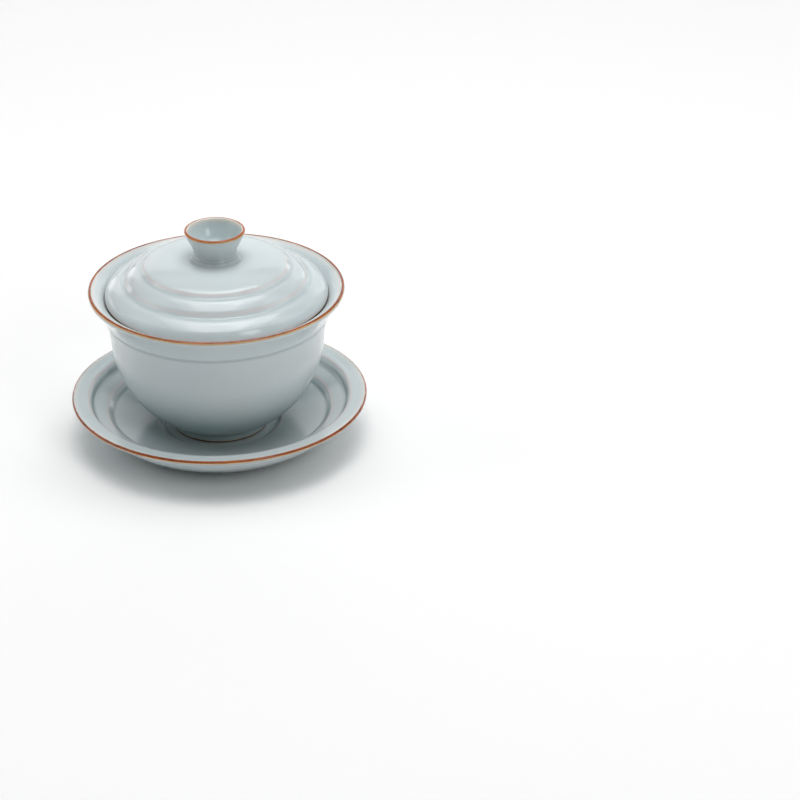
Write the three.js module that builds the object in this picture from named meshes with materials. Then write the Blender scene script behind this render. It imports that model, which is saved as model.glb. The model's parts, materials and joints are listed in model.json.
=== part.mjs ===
// Gaiwan: a lidded tea bowl on its saucer, thrown and glazed in three loose pieces.
// Millimetres, +Z up, the shared axis of every piece is Z, the saucer's foot ring stands on z = 0.
import * as THREE from 'three';

const SIDES = 48;            // facets round each turned piece
const KNOB_SIDES = 36;

// saucer
const SAUCER_R = 61.5;       // outside radius of the lip
const SAUCER_TOP = 19.15;    // top of the lip
const SAUCER_FOOT_R = 35.6;  // outside radius of the foot ring
const SAUCER_FOOT_W = 3.6;   // width of the foot ring's flat bottom
const SAUCER_HOLLOW_Z = 2.2; // underside inside the foot ring
const FLANGE_IN_R = 54.6;    // inner edge of the flat flange
const STEP_R = 46.4;         // top edge of the lower step
const SEAT_R = 25.9;         // edge of the recess that keeps the bowl's foot in place
const SEAT_Z = 4.75;         // floor the bowl's foot stands on

// bowl
const BOWL_R = 52.5;         // outside radius of the lip
const BOWL_TOP = 67.85;      // top of the lip
const BOWL_FOOT_R = 19.6;    // outside radius of the foot ring
const BOWL_FOOT_W = 3.4;
const BOWL_WALL = 2.65;      // thickness of the wall
const GROOVE_Z = 56.2;       // incised line under the flare
const GROOVE_DEEP = 0.45;

// lid
const LID_R = 45.83;         // outside radius of the turned-down edge
const LID_EDGE_Z = 64.35;    // height of the widest point
const LID_LIP_Z = 62.1;      // bottom of the turned-down edge
const TIER1_R = 30.3;        // foot of the upper raised tier
const TIER1_Z = 76.65;
const TIER2_R = 37.65;       // foot of the middle raised tier
const TIER2_Z = 71.6;
const LID_SEAT_R = 10.9;     // flat the knob is luted on
const LID_SEAT_Z = 80.5;

// knob
const KNOB_R = 12.45;        // outside radius of its lip
const KNOB_TOP = 93.3;
const KNOB_NECK_R = 8.85;
const KNOB_NECK_Z = 84.4;

const P = (r, z) => new THREE.Vector2(r, z);

// points of a cubic curve, the first one left out
function curve(a, b, c, d, n) {
  return new THREE.CubicBezierCurve(a, b, c, d).getPoints(n).slice(1);
}

// rounded corner between two straight runs, n steps
function corner(a, c, b, n) {
  return new THREE.QuadraticBezierCurve(a, c, b).getPoints(n);
}

// the same run of points moved sideways by t, to the left of its direction
function offset(run, t) {
  return run.map((p, i) => {
    const a = run[Math.max(i - 1, 0)];
    const b = run[Math.min(i + 1, run.length - 1)];
    const d = b.clone().sub(a).normalize();
    return P(p.x - d.y * t, p.y + d.x * t);
  });
}

function turned(name, profile, material, sides) {
  const geometry = new THREE.LatheGeometry(profile, sides);
  geometry.rotateX(Math.PI / 2);
  const mesh = new THREE.Mesh(geometry, material);
  mesh.name = name;
  return mesh;
}

const closed = (run) => [...run, run[0].clone()];

const celadon = new THREE.MeshStandardMaterial({ color: 0xb9c9ca, roughness: 0.28 });
const ironBrown = new THREE.MeshStandardMaterial({ color: 0x8a4a24, roughness: 0.4 });

// ---- saucer: foot ring, sloping underside, lip, flat flange, two steps, seat ring
const saucerLipIn = P(SAUCER_R - 1.35, SAUCER_TOP - 0.2);
const saucerLipOut = P(SAUCER_R - 0.08, SAUCER_TOP - 1.25);
const saucerFootIn = SAUCER_FOOT_R - SAUCER_FOOT_W;
const saucerProfile = [
  P(0, SAUCER_HOLLOW_Z),
  ...corner(P(saucerFootIn - 2.2, SAUCER_HOLLOW_Z), P(saucerFootIn - 0.8, SAUCER_HOLLOW_Z),
    P(saucerFootIn - 0.5, 0.9), 3),
  P(saucerFootIn, 0),
  P(SAUCER_FOOT_R, 0),
  ...corner(P(SAUCER_FOOT_R + 0.4, 0.5), P(SAUCER_FOOT_R + 0.9, 2.3), P(40.2, 2.5), 3),
  ...curve(P(40.2, 2.5), P(46.0, 4.9), P(51.5, 9.2), P(55.2, 14.0), 5),
  ...curve(P(55.2, 14.0), P(56.4, 15.3), P(59.6, 16.2), P(SAUCER_R - 0.75, SAUCER_TOP - 1.95), 3),
  saucerLipOut,
  saucerLipIn,
  P(57.2, 18.45),
  ...corner(P(FLANGE_IN_R + 0.5, 18.3), P(FLANGE_IN_R - 0.4, 18.2), P(FLANGE_IN_R - 1.0, 17.1), 3),
  ...corner(P(FLANGE_IN_R - 1.7, 15.6), P(FLANGE_IN_R - 2.2, 14.6), P(FLANGE_IN_R - 3.5, 14.2), 3),
  ...corner(P(STEP_R + 1.0, 12.8), P(STEP_R + 0.2, 12.6), P(STEP_R - 0.3, 12.0), 2),
  ...corner(P(STEP_R - 1.4, 10.95), P(STEP_R - 1.65, 10.62), P(STEP_R - 2.2, 10.52), 2),
  P(36.0, 8.75),
  ...corner(P(SEAT_R + 1.0, 6.9), P(SEAT_R - 0.2, 6.8), P(SEAT_R - 0.7, 6.2), 3),
  ...corner(P(SEAT_R - 1.6, 5.2), P(SEAT_R - 2.1, SEAT_Z), P(SEAT_R - 3.0, SEAT_Z), 3),
  P(0, SEAT_Z),
];

const saucerRim = closed([
  saucerLipIn,
  saucerLipOut,
  ...curve(saucerLipOut, P(SAUCER_R + 0.03, SAUCER_TOP - 0.8), P(SAUCER_R, SAUCER_TOP - 0.05),
    P(SAUCER_R - 0.62, SAUCER_TOP), 4),
]);

// ---- bowl: foot ring, full belly, upright wall, incised line, flared lip
const bowlFootIn = BOWL_FOOT_R - BOWL_FOOT_W;
const belly = [
  P(21.3, 9.0),
  ...curve(P(21.3, 9.0), P(39.1, 19.1), P(43.4, 35.1), P(44.1, 45.0), 9),
];
const flare = curve(P(44.1, 45.0), P(45.05, 57.9), P(49.05, 61.7), P(52.55, 66.1), 9);
const lipIn = P(BOWL_R - 1.6, BOWL_TOP - 0.65);
const wallIn = [
  ...offset(belly.slice(3), BOWL_WALL),
  P(42.0, 50),
  ...curve(P(42.0, 50), P(42.6, 57), P(44.4, 65.2), lipIn, 7),
];
const above = flare.findIndex((p) => p.y > GROOVE_Z);
const grooveR = flare[above - 1].clone()
  .lerp(flare[above], (GROOVE_Z - flare[above - 1].y) / (flare[above].y - flare[above - 1].y)).x;
const bowlProfile = [
  P(0, SEAT_Z + 2.6),
  ...corner(P(bowlFootIn - 1.8, SEAT_Z + 2.6), P(bowlFootIn - 0.5, SEAT_Z + 2.5),
    P(bowlFootIn - 0.3, SEAT_Z + 1.0), 2),
  P(bowlFootIn, SEAT_Z),
  P(BOWL_FOOT_R - 0.25, SEAT_Z),
  P(BOWL_FOOT_R, SEAT_Z + 0.35),
  P(BOWL_FOOT_R + 0.25, SEAT_Z + 2.2),
  P(BOWL_FOOT_R + 0.6, SEAT_Z + 3.5),
  ...belly,
  ...flare.filter((p) => p.y < GROOVE_Z - 1.2),
  P(grooveR - 0.3, GROOVE_Z - 0.9),
  P(grooveR - GROOVE_DEEP, GROOVE_Z),
  P(grooveR + 0.4, GROOVE_Z + 0.8),
  ...flare.filter((p) => p.y > GROOVE_Z + 1.4),
  P(BOWL_R, BOWL_TOP - 0.65),
  ...wallIn.slice().reverse(),
  ...curve(wallIn[0], P(23.5, 12.6), P(12.0, 10.9), P(0, 10.9), 5),
];

const bowlRim = closed([
  lipIn,
  P(BOWL_R, BOWL_TOP - 0.65),
  ...curve(P(BOWL_R, BOWL_TOP - 0.65), P(BOWL_R, BOWL_TOP + 0.22), P(BOWL_R - 1.0, BOWL_TOP + 0.22),
    lipIn, 5).slice(0, -1),
]);

// ---- lid: three stepped tiers under a low dome, edge turned down inside the bowl's flare
const lidProfile = [
  P(0, 77.5),
  ...curve(P(0, 77.5), P(12, 77.5), P(25.5, 76.8), P(30.5, 73.9), 5),
  ...curve(P(30.5, 73.9), P(34.6, 71.7), P(41.2, 67.6), P(42.7, 64.5), 5),
  ...curve(P(42.7, 64.5), P(42.8, 63.0), P(43.2, LID_LIP_Z), P(43.9, LID_LIP_Z), 2),
  ...curve(P(43.9, LID_LIP_Z), P(45.0, LID_LIP_Z), P(LID_R, 63.6), P(LID_R, LID_EDGE_Z), 3),
  ...curve(P(LID_R, LID_EDGE_Z), P(LID_R, 66.1), P(45.0, 67.5), P(44.2, 68.3), 4),
  ...curve(P(44.2, 68.3), P(43.6, 68.8), P(42.8, 69.35), P(42.0, 69.8), 2),
  ...curve(P(42.0, 69.8), P(41.0, 70.45), P(39.6, 70.98), P(38.2, 71.15), 3),
  P(TIER2_R, TIER2_Z),
  P(36.2, 73.4),
  ...curve(P(36.2, 73.4), P(35.3, 74.15), P(34.3, 74.9), P(33.3, 75.45), 2),
  ...curve(P(33.3, 75.45), P(32.5, 75.9), P(31.7, 76.18), P(30.75, 76.28), 3),
  P(TIER1_R, TIER1_Z),
  P(28.95, 78.05),
  ...curve(P(28.95, 78.05), P(25.6, 79.8), P(18.5, 80.5), P(LID_SEAT_R, LID_SEAT_Z), 5),
  P(0, LID_SEAT_Z),
];

// ---- knob: a small flared cup, luted to the lid by its spreading base
const knobLip = P(KNOB_R, KNOB_TOP - 0.7);
const knobProfile = [
  P(0, LID_SEAT_Z),
  P(LID_SEAT_R - 0.1, LID_SEAT_Z),
  ...curve(P(LID_SEAT_R - 0.1, LID_SEAT_Z), P(10.2, 80.75), P(9.75, 81.3), P(9.35, 82.0), 3),
  ...curve(P(9.35, 82.0), P(9.05, 82.6), P(KNOB_NECK_R, 83.3), P(KNOB_NECK_R, KNOB_NECK_Z), 3),
  ...curve(P(KNOB_NECK_R, KNOB_NECK_Z), P(9.2, 86.0), P(11.4, 89.2), knobLip, 5),
  P(KNOB_R - 1.55, KNOB_TOP - 0.7),
  ...curve(P(KNOB_R - 1.55, KNOB_TOP - 0.7), P(9.6, 88.6), P(8.6, 83.0), P(0, 83.0), 6),
];

const knobRim = closed([
  P(KNOB_R - 1.55, KNOB_TOP - 0.7),
  knobLip,
  ...curve(knobLip, P(KNOB_R, KNOB_TOP + 0.23), P(KNOB_R - 1.5, KNOB_TOP + 0.23),
    P(KNOB_R - 1.55, KNOB_TOP - 0.7), 5).slice(0, -1),
]);

const group = new THREE.Group();
group.name = 'gaiwan';
group.add(
  turned('saucer', saucerProfile, celadon, SIDES),
  turned('saucer_rim', saucerRim, ironBrown, SIDES),
  turned('bowl', bowlProfile, celadon, SIDES),
  turned('bowl_rim', bowlRim, ironBrown, SIDES),
  turned('lid', lidProfile, celadon, SIDES),
  turned('lid_knob', knobProfile, celadon, KNOB_SIDES),
  turned('knob_rim', knobRim, ironBrown, KNOB_SIDES),
);

export default group;
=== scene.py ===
import json
import math

import bpy
import numpy as np
from mathutils import Matrix, Vector


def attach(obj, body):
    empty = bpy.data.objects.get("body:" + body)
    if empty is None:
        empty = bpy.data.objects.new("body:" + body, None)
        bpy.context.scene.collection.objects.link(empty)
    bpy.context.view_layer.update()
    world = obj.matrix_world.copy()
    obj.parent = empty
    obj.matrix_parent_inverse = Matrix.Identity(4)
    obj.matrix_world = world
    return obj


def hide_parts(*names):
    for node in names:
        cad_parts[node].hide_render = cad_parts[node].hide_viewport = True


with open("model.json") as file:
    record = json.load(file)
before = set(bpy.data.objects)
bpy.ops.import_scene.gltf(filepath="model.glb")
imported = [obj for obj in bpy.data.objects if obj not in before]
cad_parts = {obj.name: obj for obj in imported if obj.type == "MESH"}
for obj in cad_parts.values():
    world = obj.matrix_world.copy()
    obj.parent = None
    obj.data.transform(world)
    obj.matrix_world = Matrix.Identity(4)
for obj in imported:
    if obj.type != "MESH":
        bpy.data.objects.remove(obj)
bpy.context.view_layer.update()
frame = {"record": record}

MM = 0.001
SIDES = 192                  # facets round each turned piece
STEP = 0.12                  # spacing of the dense section, mm
SAME_POINT = 1e-6            # points nearer than this, mm, are one
ON_AXIS = 1e-6               # a smaller radius, mm, is a point on the axis
FAR = 9.0                    # distance given to hidden cuts, mm
RIDGE_FLOW = 0.12            # how far the glaze rounds the throwing ridges, mm

# the same sizes as the CAD part, mm
SAUCER_R, SAUCER_TOP, SAUCER_FOOT_R, SAUCER_FOOT_IN = 61.5, 19.15, 35.6, 32.0
FLANGE_IN_R, STEP_R, SEAT_R, SEAT_Z = 54.6, 46.4, 25.9, 4.75
BOWL_R, BOWL_TOP, BOWL_FOOT_R, BOWL_FOOT_IN = 52.5, 67.85, 19.6, 16.2
BOWL_WALL, GROOVE_Z, GROOVE_DEEP = 2.65, 56.2, 0.45
LID_R, LID_EDGE_Z, LID_LIP_Z = 45.83, 64.35, 62.1
TIER1, TIER2 = (30.3, 76.65), (37.65, 71.6)
LID_SEAT_R, LID_SEAT_Z = 10.9, 80.5
KNOB_R, KNOB_TOP, KNOB_NECK_R, KNOB_NECK_Z = 12.45, 93.3, 8.85, 84.4


# ---------------------------------------------------------------- sections
def bez(a, b, c, d, n=40):
    """Cubic curve from a to d with handles b and c."""
    t = np.linspace(0, 1, n)[:, None]
    a, b, c, d = (np.array(p, float) for p in (a, b, c, d))
    return (1 - t) ** 3 * a + 3 * (1 - t) ** 2 * t * b + 3 * (1 - t) * t * t * c + t ** 3 * d


def bend(a, c, b, n=16):
    """Rounded corner from a to b, drawn toward c."""
    t = np.linspace(0, 1, n)[:, None]
    a, b, c = (np.array(p, float) for p in (a, b, c))
    return (1 - t) ** 2 * a + 2 * (1 - t) * t * c + t * t * b


def path(*runs):
    """Joins points and curves into one section, without repeats."""
    pts = np.vstack([np.atleast_2d(np.array(r, float)) for r in runs])
    keep = np.r_[True, np.hypot(*np.diff(pts, axis=0).T) > SAME_POINT]
    return pts[keep]


def offset(run, t):
    """The run moved t mm to its left."""
    d = np.gradient(run, axis=0)
    d /= np.hypot(*d.T)[:, None]
    return run + t * np.c_[-d[:, 1], d[:, 0]]


def dense(pts, flow):
    """Resamples a section evenly, then lets the glaze round it. Both ends lie on the axis."""
    s = np.r_[0, np.cumsum(np.hypot(*np.diff(pts, axis=0).T))]
    u = np.linspace(0, s[-1], int(s[-1] / STEP) + 1)
    p = np.c_[np.interp(u, s, pts[:, 0]), np.interp(u, s, pts[:, 1])]
    k = int(4 * flow / STEP) + 1
    w = np.exp(-0.5 * (np.arange(-k, k + 1) * STEP / flow) ** 2)
    w /= w.sum()
    mirror = lambda q: q * (-1, 1)
    ext = np.vstack([mirror(p[k:0:-1]), p, mirror(p[-2:-k - 2:-1])])
    out = np.c_[np.convolve(ext[:, 0], w, "valid"), np.convolve(ext[:, 1], w, "valid")]
    out[[0, -1], 0] = 0.0
    return out


def section(pts, flow):
    """Section points with tangent, curvature (convex positive) and run length."""
    p = dense(pts, flow)
    t = np.gradient(p, axis=0)
    ds = np.hypot(*t.T)
    t /= ds[:, None]
    dt = np.gradient(t, axis=0) / ds[:, None]
    curv = t[:, 0] * dt[:, 1] - t[:, 1] * dt[:, 0]
    return {"p": p, "t": t, "k": curv, "s": np.cumsum(ds) - ds[0]}


def thin_out(sec, lo, hi, angle=0.035, longest=2.2):
    """Indices from lo to hi that keep the shape: close together only where the section bends."""
    keep, last = [lo], lo
    for i in range(lo + 1, hi):
        turn = abs(math.atan2(
            sec["t"][last, 0] * sec["t"][i, 1] - sec["t"][last, 1] * sec["t"][i, 0],
            float(sec["t"][last] @ sec["t"][i])))
        if turn > angle or sec["s"][i] - sec["s"][last] > longest:
            keep.append(i)
            last = i
    return keep + [hi]


def nearest(sec, r, z):
    """Index of the section point nearest to (r, z)."""
    return int(np.argmin(np.hypot(sec["p"][:, 0] - r, sec["p"][:, 1] - z)))


def ridged(sec, ridges):
    """Adds faint throwing ridges: r, z, height and half-width in mm."""
    out = sec["p"].copy()
    for r, z, height, width in ridges:
        bump = height * np.exp(-((sec["s"] - sec["s"][nearest(sec, r, z)]) / width) ** 2)
        out += bump[:, None] * np.c_[sec["t"][:, 1], -sec["t"][:, 0]]
    return section(out, flow=RIDGE_FLOW)


# ---------------------------------------------------------------- turned meshes
OUT_OF_ROUND = 0.0016


def wobble(theta, r):
    """Hand-made out-of-round, in mm, with its slope round the piece."""
    a = OUT_OF_ROUND * r
    f = a * (np.sin(2 * theta + 0.6) + 0.5 * np.sin(3 * theta + 2.1) + 0.22 * np.sin(5 * theta + 4.0))
    g = a * (2 * np.cos(2 * theta + 0.6) + 1.5 * np.cos(3 * theta + 2.1) + 1.1 * np.cos(5 * theta + 4.0))
    return f, g


def store(mesh, key, per_ring, ring):
    """Writes one value per ring as a point attribute."""
    values = []
    for (r, _), v in zip(ring, per_ring):
        values += [float(v)] * (1 if r < ON_AXIS else SIDES)
    attr = mesh.attributes.new(key, "FLOAT", "POINT")
    attr.data.foreach_set("value", values)


# ---- saucer
saucer = section(path(
    (0, 2.2), bend((SAUCER_FOOT_IN - 2.2, 2.2), (SAUCER_FOOT_IN - 0.8, 2.2), (SAUCER_FOOT_IN - 0.5, 0.9)),
    (SAUCER_FOOT_IN, 0), (SAUCER_FOOT_R, 0),
    bend((SAUCER_FOOT_R + 0.4, 0.5), (SAUCER_FOOT_R + 0.9, 2.3), (40.2, 2.5)),
    bez((40.2, 2.5), (46.0, 4.9), (51.5, 9.2), (55.2, 14.0)),
    bez((55.2, 14.0), (56.4, 15.3), (59.6, 16.2), (SAUCER_R - 0.75, SAUCER_TOP - 1.95)),
    bez((SAUCER_R - 0.08, SAUCER_TOP - 1.25), (SAUCER_R + 0.03, SAUCER_TOP - 0.8),
        (SAUCER_R, SAUCER_TOP - 0.05), (SAUCER_R - 0.62, SAUCER_TOP)),
    (SAUCER_R - 1.35, SAUCER_TOP - 0.2), (57.2, 18.45),
    bend((FLANGE_IN_R + 0.5, 18.3), (FLANGE_IN_R - 0.4, 18.2), (FLANGE_IN_R - 1.0, 17.1)),
    bend((FLANGE_IN_R - 1.7, 15.6), (FLANGE_IN_R - 2.2, 14.6), (FLANGE_IN_R - 3.5, 14.2)),
    bend((STEP_R + 1.0, 12.8), (STEP_R + 0.2, 12.6), (STEP_R - 0.3, 12.0)),
    bend((STEP_R - 1.4, 10.95), (STEP_R - 1.65, 10.62), (STEP_R - 2.2, 10.52)),
    (36.0, 8.75),
    bend((SEAT_R + 1.0, 6.9), (SEAT_R - 0.2, 6.8), (SEAT_R - 0.7, 6.2)),
    bend((SEAT_R - 1.6, 5.2), (SEAT_R - 2.1, SEAT_Z), (SEAT_R - 3.0, SEAT_Z)),
    (0, SEAT_Z)), flow=0.22)
saucer = ridged(saucer, [(54.2, 12.6, 0.12, 0.9), (51.9, 9.8, 0.08, 0.9)])

# ---- bowl
belly = bez((21.3, 9.0), (39.1, 19.1), (43.4, 35.1), (44.1, 45.0), 60)
flare = bez((44.1, 45.0), (45.05, 57.9), (49.05, 61.7), (52.55, 66.1), 60)
lip_in = (BOWL_R - 1.6, BOWL_TOP - 0.65)
wall_in = offset(belly, BOWL_WALL)
wall_in = path(wall_in[wall_in[:, 0] > 30.5], bez((42.0, 50), (42.6, 57), (44.4, 65.2), lip_in))
groove_r = float(np.interp(GROOVE_Z, flare[:, 1], flare[:, 0]))
bowl = section(path(
    (0, SEAT_Z + 2.6),
    bend((BOWL_FOOT_IN - 1.8, SEAT_Z + 2.6), (BOWL_FOOT_IN - 0.5, SEAT_Z + 2.5),
         (BOWL_FOOT_IN - 0.3, SEAT_Z + 1.0)),
    (BOWL_FOOT_IN, SEAT_Z), (BOWL_FOOT_R - 0.25, SEAT_Z), (BOWL_FOOT_R, SEAT_Z + 0.35),
    (BOWL_FOOT_R + 0.25, SEAT_Z + 2.2), (BOWL_FOOT_R + 0.6, SEAT_Z + 3.5),
    belly, flare[flare[:, 1] < GROOVE_Z - 1.3],
    (groove_r - 0.3, GROOVE_Z - 0.9), (groove_r - GROOVE_DEEP, GROOVE_Z), (groove_r + 0.4, GROOVE_Z + 0.8),
    flare[flare[:, 1] > GROOVE_Z + 1.6],
    bez((BOWL_R + 0.1, BOWL_TOP - 1.15), (BOWL_R + 0.1, BOWL_TOP + 0.2),
        (BOWL_R - 1.0, BOWL_TOP + 0.24), lip_in),
    wall_in[::-1],
    bez(wall_in[0], (23.5, 12.6), (12.0, 10.9), (0, 10.9))), flow=0.26)

# ---- lid with its knob
lid = section(path(
    (0, 77.5), bez((0, 77.5), (12, 77.5), (25.5, 76.8), (30.5, 73.9)),
    bez((30.5, 73.9), (34.6, 71.7), (41.2, 67.6), (42.7, 64.5)),
    bez((42.7, 64.5), (42.8, 63.0), (43.2, LID_LIP_Z), (43.9, LID_LIP_Z)),
    bez((43.9, LID_LIP_Z), (45.0, LID_LIP_Z), (LID_R, 63.6), (LID_R, LID_EDGE_Z)),
    bez((LID_R, LID_EDGE_Z), (LID_R, 66.1), (45.0, 67.5), (44.2, 68.3)),
    bez((44.2, 68.3), (43.6, 68.8), (42.8, 69.35), (42.0, 69.8)),
    bez((42.0, 69.8), (41.0, 70.45), (39.6, 70.98), (38.2, 71.15)), TIER2, (36.2, 73.4),
    bez((36.2, 73.4), (35.3, 74.15), (34.3, 74.9), (33.3, 75.45)),
    bez((33.3, 75.45), (32.5, 75.9), (31.7, 76.18), (30.75, 76.28)), TIER1, (28.95, 78.05),
    bez((28.95, 78.05), (25.6, 79.8), (18.5, 80.5), (LID_SEAT_R, LID_SEAT_Z)),
    bez((LID_SEAT_R, LID_SEAT_Z), (10.2, 80.75), (9.75, 81.3), (9.35, 82.0)),
    bez((9.35, 82.0), (9.05, 82.6), (KNOB_NECK_R, 83.3), (KNOB_NECK_R, KNOB_NECK_Z)),
    bez((KNOB_NECK_R, KNOB_NECK_Z), (9.2, 86.0), (11.4, 89.2), (KNOB_R, KNOB_TOP - 0.7)),
    bez((KNOB_R, KNOB_TOP - 0.7), (KNOB_R, KNOB_TOP + 0.23), (KNOB_R - 1.5, KNOB_TOP + 0.23),
        (KNOB_R - 1.55, KNOB_TOP - 0.7)),
    bez((KNOB_R - 1.55, KNOB_TOP - 0.7), (9.6, 88.6), (8.6, 83.0), (0, 83.0))), flow=0.26)
lid = ridged(lid, [(9.15, 82.5, 0.2, 0.45), (9.8, 81.3, 0.12, 0.35)])


def span(sec, crest, half):
    """Crest of a lip, and the ends of its dressed band half mm either side along the section."""
    mid = nearest(sec, *crest)
    lo = int(np.searchsorted(sec["s"], sec["s"][mid] - half))
    hi = int(np.searchsorted(sec["s"], sec["s"][mid] + half))
    return lo, mid, hi


def turned(name, sec, spans, marks, tail=()):
    """A closed turned piece: stretches of the section joined by straight cuts, then back along tail."""
    ring, runs, idx = [], [], []
    for lo, hi in spans:
        keep = thin_out(sec, lo, hi)
        start = len(ring)
        ring += [tuple(sec["p"][i]) for i in keep]
        if idx:
            runs.append(([start - 1, start], None))
        runs.append((list(range(start, len(ring))), [tuple(sec["t"][i]) for i in keep]))
        idx += keep
    ends = [len(ring) - 1]
    for q in tail:
        ring.append(tuple(q))
        ends.append(len(ring) - 1)
    if ring[ends[-1]][0] > ON_AXIS or ring[0][0] > ON_AXIS:
        ends.append(0)
    runs += [([a, b], None) for a, b in zip(ends[:-1], ends[1:])
             if ring[a][0] > ON_AXIS or ring[b][0] > ON_AXIS]
    pad = len(ring) - len(idx)
    values = {"curv": np.r_[sec["k"][idx], np.zeros(pad)]}
    for key, where in marks.items():
        away = sec["s"][idx][:, None] - sec["s"][list(where)][None, :]
        away = away[:, 0] if key == "lip" else np.abs(away).min(axis=1)
        values[key] = np.r_[away, np.full(pad, FAR)]
    return lathe(name, ring, runs, values)


def lathe(name, ring, runs, values):
    """Turns the ring points into a mesh with exact normals; a run without slopes is a straight cut."""
    theta = np.arange(SIDES) * 2 * math.pi / SIDES
    cos, sin = np.cos(theta), np.sin(theta)
    verts, first = [], []
    for r, z in ring:
        first.append(len(verts))
        if r < ON_AXIS:
            verts.append((0.0, 0.0, z * MM))
        else:
            q = (r + wobble(theta, r)[0]) * MM
            verts += list(zip(q * cos, q * sin, np.full(SIDES, z * MM)))

    def ring_normals(i, t):
        r = ring[i][0]
        if r < ON_AXIS:
            return np.tile((0.0, 0.0, -math.copysign(1, t[0])), (SIDES, 1))
        f, g = wobble(theta, r)
        v = np.c_[t[1] * (r + f), -t[1] * g, -t[0] * (r + f)]
        v /= np.linalg.norm(v, axis=1)[:, None]
        return np.c_[v[:, 0] * cos - v[:, 1] * sin, v[:, 0] * sin + v[:, 1] * cos, v[:, 2]]

    faces, normals = [], []
    for ids, slopes in runs:
        if slopes is None:
            d = np.array(ring[ids[1]]) - np.array(ring[ids[0]])
            slopes = [tuple(d / np.hypot(*d))] * 2
        for q, (a, b) in enumerate(zip(ids[:-1], ids[1:])):
            na, nb = ring_normals(a, slopes[q]), ring_normals(b, slopes[q + 1])
            pole_a, pole_b = ring[a][0] < ON_AXIS, ring[b][0] < ON_AXIS
            for j in range(SIDES):
                k = (j + 1) % SIDES
                if pole_a:
                    faces.append((first[a], first[b] + k, first[b] + j))
                    normals += [na[j], nb[k], nb[j]]
                elif pole_b:
                    faces.append((first[a] + j, first[a] + k, first[b]))
                    normals += [na[j], na[k], nb[j]]
                else:
                    faces.append((first[a] + j, first[a] + k, first[b] + k, first[b] + j))
                    normals += [na[j], na[k], nb[k], nb[j]]
    mesh = bpy.data.meshes.new(name)
    mesh.from_pydata(verts, [], faces)
    mesh.shade_smooth()
    mesh.normals_split_custom_set(normals)
    obj = bpy.data.objects.new(name, mesh)
    bpy.context.scene.collection.objects.link(obj)
    for key, v in values.items():
        store(mesh, key, v, ring)
    return obj


DRESSED_HALF = 1.0           # half-width of the piece that carries a brown lip, mm
saucer_lip = span(saucer, (SAUCER_R - 0.35, SAUCER_TOP - 0.25), DRESSED_HALF)
bowl_lip = span(bowl, (BOWL_R - 0.7, BOWL_TOP), DRESSED_HALF)
knob_lip = span(lid, (KNOB_R - 0.6, KNOB_TOP), DRESSED_HALF)
knob_seam = nearest(lid, LID_SEAT_R - 0.1, LID_SEAT_Z)
SEAT = (0.0, LID_SEAT_Z)


def last(sec):
    return len(sec["p"]) - 1


EDGES = {  # where the glaze runs thin off an edge
    "saucer": [nearest(saucer, FLANGE_IN_R, 18.2), nearest(saucer, STEP_R + 0.6, 12.6),
               # the thin-glaze mark at the seat ring also paints the highlight arcs on its edge
               nearest(saucer, SEAT_R, 6.8)],
    "bowl": [nearest(bowl, *lip_in)],
    "lid": [nearest(lid, 29.4, 77.5), nearest(lid, 36.8, 72.7), nearest(lid, LID_R, LID_EDGE_Z + 0.9)],
}
POOLS_AND_SHADE = {  # where the glaze gathers, darker; in these creases and corners the darkening is also painted shade
    "saucer": [nearest(saucer, 53.0, 15.8), nearest(saucer, STEP_R - 1.7, 10.7),
               nearest(saucer, SEAT_R - 2.1, SEAT_Z)],
    "bowl": [nearest(bowl, groove_r - GROOVE_DEEP, GROOVE_Z), nearest(bowl, 20.6, 8.6)],
    "lid": [nearest(lid, 31.0, 76.2), nearest(lid, 38.5, 71.1), nearest(lid, 10.6, 80.6)],
}


def glazed(name, sec, key, lo, hi, lip, foot, tail=()):
    spans = [(lo, lip[0]), (lip[2], hi)] if hi > lip[0] else [(lo, hi)]
    marks = {"lip": [lip[1]], "foot": [nearest(sec, *foot)], "edge": EDGES[key], "pool_shade": POOLS_AND_SHADE[key]}
    return turned(name, sec, spans, marks, tail)


def dressed(name, sec, lip):
    away = [0, last(sec)]
    marks = {"lip": [lip[1]], "foot": away, "edge": away, "pool_shade": away}
    return turned(name, sec, [(lip[0], lip[2])], marks)


LID_FOOT = (43.9, LID_LIP_Z)
pieces = {
    "saucer": glazed("saucer_glazed", saucer, "saucer", 0, last(saucer), saucer_lip, (33.8, 0.0)),
    "saucer_rim": dressed("saucer_lip", saucer, saucer_lip),
    "bowl": glazed("bowl_glazed", bowl, "bowl", 0, last(bowl), bowl_lip, (17.9, SEAT_Z)),
    "bowl_rim": dressed("bowl_lip", bowl, bowl_lip),
    "lid": glazed("lid_glazed", lid, "lid", 0, knob_seam, knob_lip, LID_FOOT, [SEAT]),
    "lid_knob": glazed("knob_glazed", lid, "lid", knob_seam, last(lid), knob_lip, LID_FOOT, [SEAT]),
    "knob_rim": dressed("knob_lip", lid, knob_lip),
}


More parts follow.
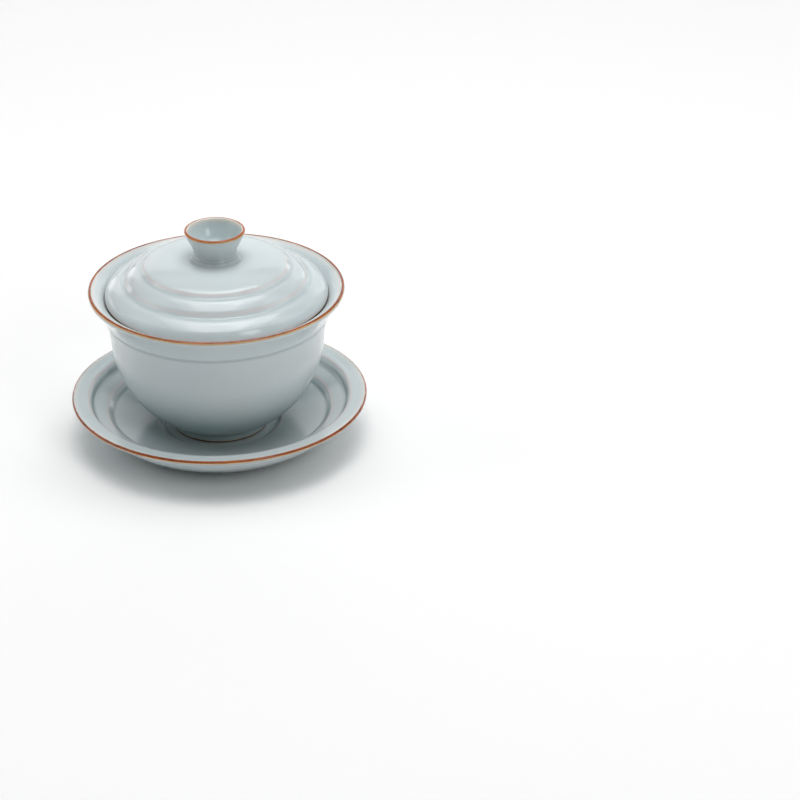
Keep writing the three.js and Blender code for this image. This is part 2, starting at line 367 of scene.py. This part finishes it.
# ---------------------------------------------------------------- materials
class Nodes:
    """Short names for building a shader tree."""

    def __init__(self, name):
        self.material = bpy.data.materials.new(name)
        self.material.use_nodes = True
        self.tree = self.material.node_tree
        self.tree.nodes.clear()

    def link(self, a, b):
        self.tree.links.new(a, b)

    def attribute(self, name):
        node = self.tree.nodes.new("ShaderNodeAttribute")
        node.attribute_name = name
        return node.outputs["Fac"]

    def math(self, op, a, b=None, c=None, clamp=False):
        node = self.tree.nodes.new("ShaderNodeMath")
        node.operation = op
        node.use_clamp = clamp
        for socket, value in zip(node.inputs, (a, b, c)):
            if value is None:
                continue
            if isinstance(value, (int, float)):
                socket.default_value = value
            else:
                self.link(value, socket)
        return node.outputs[0]

    def fade(self, value, start, end, low=0.0, high=1.0):
        node = self.tree.nodes.new("ShaderNodeMapRange")
        node.interpolation_type = "SMOOTHSTEP"
        self.link(value, node.inputs["Value"])
        for key, v in zip(("From Min", "From Max", "To Min", "To Max"), (start, end, low, high)):
            node.inputs[key].default_value = v
        return node.outputs[0]

    def noise(self, vector, scale, detail=2.0, rough=0.5):
        node = self.tree.nodes.new("ShaderNodeTexNoise")
        self.link(vector, node.inputs["Vector"])
        for key, v in (("Scale", scale), ("Detail", detail), ("Roughness", rough)):
            node.inputs[key].default_value = v
        return node.outputs["Fac"]

    def mix(self, fac, a, b):
        node = self.tree.nodes.new("ShaderNodeMix")
        node.data_type = "RGBA"
        if isinstance(fac, (int, float)):
            node.inputs[0].default_value = fac
        else:
            self.link(fac, node.inputs[0])
        for socket, value in ((node.inputs[6], a), (node.inputs[7], b)):
            if isinstance(value, tuple):
                socket.default_value = (*value, 1)
            else:
                self.link(value, socket)
        return node.outputs[2]


def srgb(r, g, b):
    return tuple(((c / 255 + 0.055) / 1.055) ** 2.4 if c > 10 else c / 3294.6 for c in (r, g, b))


GLAZE_WARM = srgb(203, 211, 212)
GLAZE_COOL = srgb(197, 209, 212)
GLAZE_THIN = srgb(211, 204, 204)
# gathered glaze, also used as painted shade in creases and corners
GLAZE_POOL_SHADE = srgb(152, 170, 171)
# darker green: the glaze's own green with painted shade low on the pieces and deep inside the knob
GLAZE_DEEP_SHADE = srgb(140, 166, 166)
IRON = srgb(150, 72, 26)
IRON_DARK = srgb(116, 53, 24)
IRON_ORANGE = srgb(182, 100, 48)
HONEY = srgb(214, 168, 108)
# pale band inside the brown lip: thin glaze plus painted highlight on the inner lip
CREAM_SHEEN = srgb(226, 222, 212)
CLAY = srgb(74, 50, 38)
CLAY_LIGHT = srgb(104, 74, 56)
SPECK = srgb(120, 96, 74)


def ceramic(name, iron, cream_sheen=0.4, run_down_shade=None, cup_shade=0.0, orange=0.0, pool_shade=1.0, bare=2.3):
    """Celadon over a dark body: thin and pinkish where it runs off an edge, darker where it gathers in the
    hollows, a darkening that is partly real glaze and partly painted shade in the creases and corners.

    iron: reach in mm of the brown dressing, outside and inside the crest of the lip
    cream: strength of the pale band inside it, thin glaze that also paints the highlight along the inner
    lip
    run_down_shade: where the glaze turns darker and greener toward the bottom, from and to in mm, and how
    strongly; the green is the glaze, the darkening is painted shade
    cup: how strongly it turns darker and greener down inside the lip, gathered glaze plus painted shade
    deep inside the knob
    orange: lightens the brown
    pool: scales the darkening in the hollows, gathered glaze plus painted shade
    bare: half-width in mm of the unglazed foot, 0 for none"""
    n = Nodes(name)
    where = n.tree.nodes.new("ShaderNodeTexCoord").outputs["Object"]
    curv, lip, edge = n.attribute("curv"), n.attribute("lip"), n.attribute("edge")
    color = n.mix(n.fade(n.noise(where, 22, 2, 0.45), 0.2, 0.8), GLAZE_COOL, GLAZE_WARM)
    wander = n.math("MULTIPLY_ADD", n.noise(where, 110, 2, 0.5), 0.8, -0.4)
    # painted shade: concave creases, corners and the marked hollows turn darker, on top of the glaze
    # gathering there
    pool_shade_fac = n.fade(n.math("MULTIPLY_ADD", wander, 0.12, curv), -0.06, -0.8, 0.0, 0.45 * pool_shade)
    hollow = n.math("MULTIPLY_ADD", wander, 0.6, n.attribute("pool_shade"))
    pool_shade_fac = n.math("MAXIMUM", pool_shade_fac, n.fade(hollow, 1.3, 0.2, 0.0, 0.38 * pool_shade))
    color = n.mix(pool_shade_fac, color, GLAZE_POOL_SHADE)
    # painted shade: darker toward the bottom, under the bowl's belly and on the saucer's floor beneath it,
    # with the glaze's own green
    if run_down_shade:
        height = n.tree.nodes.new("ShaderNodeSeparateXYZ")
        n.link(where, height.inputs["Vector"])
        top, bottom, deep = run_down_shade
        color = n.mix(n.fade(height.outputs["Z"], top * MM, bottom * MM, 0.0, deep), color, GLAZE_DEEP_SHADE)
    # painted shade: darker deeper inside the knob, with the glaze gathering there
    if cup_shade:
        color = n.mix(n.fade(lip, 2.5, 9.0, 0.0, cup_shade), color, GLAZE_DEEP_SHADE)
    thin = n.fade(n.math("MULTIPLY_ADD", wander, 0.7, edge), 1.0, 0.3, 0.0, 0.75)
    color = n.mix(thin, color, GLAZE_THIN)
    speck = n.tree.nodes.new("ShaderNodeTexVoronoi")
    n.link(where, speck.inputs["Vector"])
    speck.inputs["Scale"].default_value = 260
    rare = n.noise(where, 170, 1)
    dot = n.math("MULTIPLY", n.fade(speck.outputs["Distance"], 0.075, 0.03), n.fade(rare, 0.66, 0.72))
    color = n.mix(n.math("MULTIPLY", dot, 0.5), color, SPECK)
    rough = n.fade(n.noise(where, 90, 3), 0.3, 0.7, 0.09, 0.14)
    if iron:
        out, inn = iron
        reach = n.math("MULTIPLY_ADD", n.noise(where, 260, 3, 0.6), 0.4, -0.2)
        reach = n.math("ADD", lip, reach)
        # painted highlight: pale band just inside the brown, partly thin glaze
        pale = n.math("MULTIPLY", n.fade(reach, inn, inn + 0.2, 0.0, cream_sheen),
                      n.fade(reach, inn + 2.4, inn + 0.6))
        color = n.mix(pale, color, CREAM_SHEEN)
        honey = n.math("MULTIPLY", n.fade(reach, -out - 0.85, -out - 0.4, 0.0, 0.9),
                       n.fade(reach, inn, inn - 0.2))
        color = n.mix(honey, color, HONEY)
        brown = n.mix(n.fade(n.noise(where, 380, 3, 0.55), 0.3, 0.6), IRON_DARK, IRON)
        warm = n.fade(n.noise(where, 60, 2), 0.4 - orange, 0.75 - orange, 0.0, 0.7)
        brown = n.mix(warm, brown, IRON_ORANGE)
        dressing = n.math("MULTIPLY", n.fade(reach, -out - 0.2, -out + 0.1),
                          n.fade(reach, inn + 0.2, inn - 0.1))
        color = n.mix(dressing, color, brown)
    if bare:
        foot = n.math("MULTIPLY_ADD", wander, 0.5, n.attribute("foot"))
        color = n.mix(n.fade(foot, bare + 0.55, bare + 0.15, 0.0, 0.5), color, HONEY)
        ground = n.mix(n.fade(n.noise(where, 900, 4, 0.7), 0.3, 0.7), CLAY, CLAY_LIGHT)
        bare_fac = n.fade(foot, bare + 0.15, bare - 0.15)
        color = n.mix(bare_fac, color, ground)
        rough = n.math("MAXIMUM", rough, n.math("MULTIPLY", bare_fac, 0.75))
    swell = n.noise(where, 70, 2, 0.4)
    peel = n.noise(where, 420, 2, 0.5)
    height = n.math("MULTIPLY_ADD", peel, 0.05, swell)
    bump = n.tree.nodes.new("ShaderNodeBump")
    bump.inputs["Strength"].default_value = 0.3
    bump.inputs["Distance"].default_value = 0.0002
    n.link(height, bump.inputs["Height"])
    shader = n.tree.nodes.new("ShaderNodeBsdfPrincipled")
    shader.inputs["IOR"].default_value = 1.5
    n.link(color, shader.inputs["Base Color"])
    n.link(rough, shader.inputs["Roughness"])
    n.link(bump.outputs["Normal"], shader.inputs["Normal"])
    out = n.tree.nodes.new("ShaderNodeOutputMaterial")
    n.link(shader.outputs["BSDF"], out.inputs["Surface"])
    return n.material


LIP = (0.72, 0.38)           # reach of the brown outside and inside the crest, mm
# the saucer's darker middle and step corners are partly painted shade of the bowl
celadon = ceramic("celadon", LIP, run_down_shade=(11.5, 6.5, 0.3), pool_shade=2.0)
# the bowl's darker lower belly is partly painted shade under it
celadon_bowl = ceramic("celadon_bowl", LIP, run_down_shade=(40, 12, 0.6))
celadon_knob = ceramic("celadon_knob", LIP, cream_sheen=0.95, cup_shade=0.4, orange=0.3, pool_shade=0.6, bare=0)
# the lid's bare band runs up to its widest edge, where the dark clay also paints the shade of the gap
# between lid and bowl
celadon_lid = ceramic("celadon_lid", None, pool_shade=0.8, bare=2.95)
iron_lip = ceramic("iron_lip", LIP, bare=0)
knob_iron_lip = ceramic("knob_iron_lip", LIP, cream_sheen=0.95, orange=0.3, bare=0)
DRESS = {"saucer": celadon, "saucer_rim": iron_lip, "bowl": celadon_bowl, "bowl_rim": iron_lip,
         "lid": celadon_lid, "lid_knob": celadon_knob, "knob_rim": knob_iron_lip}

for node, piece in pieces.items():
    body = next(b for b, members in frame["record"]["behaviour"]["bodies"].items() if node in members)
    piece.data.materials.append(DRESS[node])
    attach(piece, body)
    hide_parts(node)


# ---------------------------------------------------------------- stage
def plain(name, color, rough=0.7):
    material = bpy.data.materials.new(name)
    material.use_nodes = True
    shader = material.node_tree.nodes["Principled BSDF"]
    shader.inputs["Base Color"].default_value = (*color, 1)
    shader.inputs["Roughness"].default_value = rough
    return material


floor_mesh = bpy.data.meshes.new("floor")
floor_mesh.from_pydata([(-6, -6, 0), (6, -6, 0), (6, 6, 0), (-6, 6, 0)], [], [(0, 1, 2, 3)])
floor = bpy.data.objects.new("floor", floor_mesh)
bpy.context.scene.collection.objects.link(floor)
floor_mesh.materials.append(plain("pale_floor", (0.93, 0.93, 0.93)))

world = bpy.data.worlds.new("studio")
world.use_nodes = True
world.node_tree.nodes["Background"].inputs["Color"].default_value = (0.97, 0.985, 1.0, 1)
world.node_tree.nodes["Background"].inputs["Strength"].default_value = 0.0
bpy.context.scene.world = world


MIDDLE = (0, 0, 0.05)        # every light points here


def softbox(name, at, width, height, watts):
    light = bpy.data.lights.new(name, "AREA")
    light.shape = "RECTANGLE"
    light.size, light.size_y = width, height
    light.energy = watts
    obj = bpy.data.objects.new(name, light)
    obj.location = at
    obj.rotation_euler = (Vector(MIDDLE) - Vector(at)).to_track_quat("-Z", "Y").to_euler()
    obj.visible_camera = False
    bpy.context.scene.collection.objects.link(obj)


softbox("overhead", (0, 0, 1.5), 1.4, 1.4, 8.8)
softbox("overhead_core", (0, 0, 1.3), 0.7, 0.7, 3.9)
softbox("overhead_back_left", (-0.35, 0.35, 1.5), 0.7, 0.7, 1.4)
softbox("overhead_back_right", (0.35, 0.35, 1.5), 0.7, 0.7, 3.3)
softbox("overhead_back", (0, 0.8, 1.3), 1.4, 1.0, 1.6)
softbox("high_left", (-1.1, 0.1, 1.1), 0.8, 0.8, 2.0)
softbox("high_right", (1.1, 0.1, 1.1), 0.8, 0.8, 2.5)
softbox("back_wall", (0, 1.8, 0.6), 2.4, 1.0, 8.0)
softbox("back_right", (1.2, 1.2, 0.7), 1.0, 1.0, 1.7)
softbox("back_left_low", (-1.5, 0.7, 0.25), 1.2, 0.4, 1.5)
softbox("back_left_corner", (-1.2, 1.3, 0.25), 1.2, 0.4, 1.5)
softbox("back_right_corner", (1.2, 1.3, 0.22), 1.2, 0.35, 1.0)
softbox("left_wall", (-1.6, 0, 0.6), 1.4, 1.0, 3.9)
softbox("right_wall", (1.6, 0, 0.6), 1.4, 1.0, 1.7)
softbox("front_right", (0.95, -1.15, 0.95), 0.5, 0.85, 5.4)

# camera, from the angle at which the tea set was seen
ELEVATION = math.radians(27.93)
eye = Vector((0.0754, -1.0819, 0.5882))
forward = Vector((0, math.cos(ELEVATION), -math.sin(ELEVATION)))
up = Vector((0, math.sin(ELEVATION), math.cos(ELEVATION)))
right = Vector((1, 0, 0))
camera_data = bpy.data.cameras.new("camera")
camera_data.sensor_width = 36.0
camera_data.lens = 2921.74 * 36.0 / 800
camera_data.clip_start, camera_data.clip_end = 0.05, 50
camera = bpy.data.objects.new("camera", camera_data)
camera.matrix_world = Matrix.Translation(eye) @ Matrix((right, up, -forward)).transposed().to_4x4()
bpy.context.scene.collection.objects.link(camera)
bpy.context.scene.camera = camera
bpy.context.scene.view_settings.view_transform = "Standard"
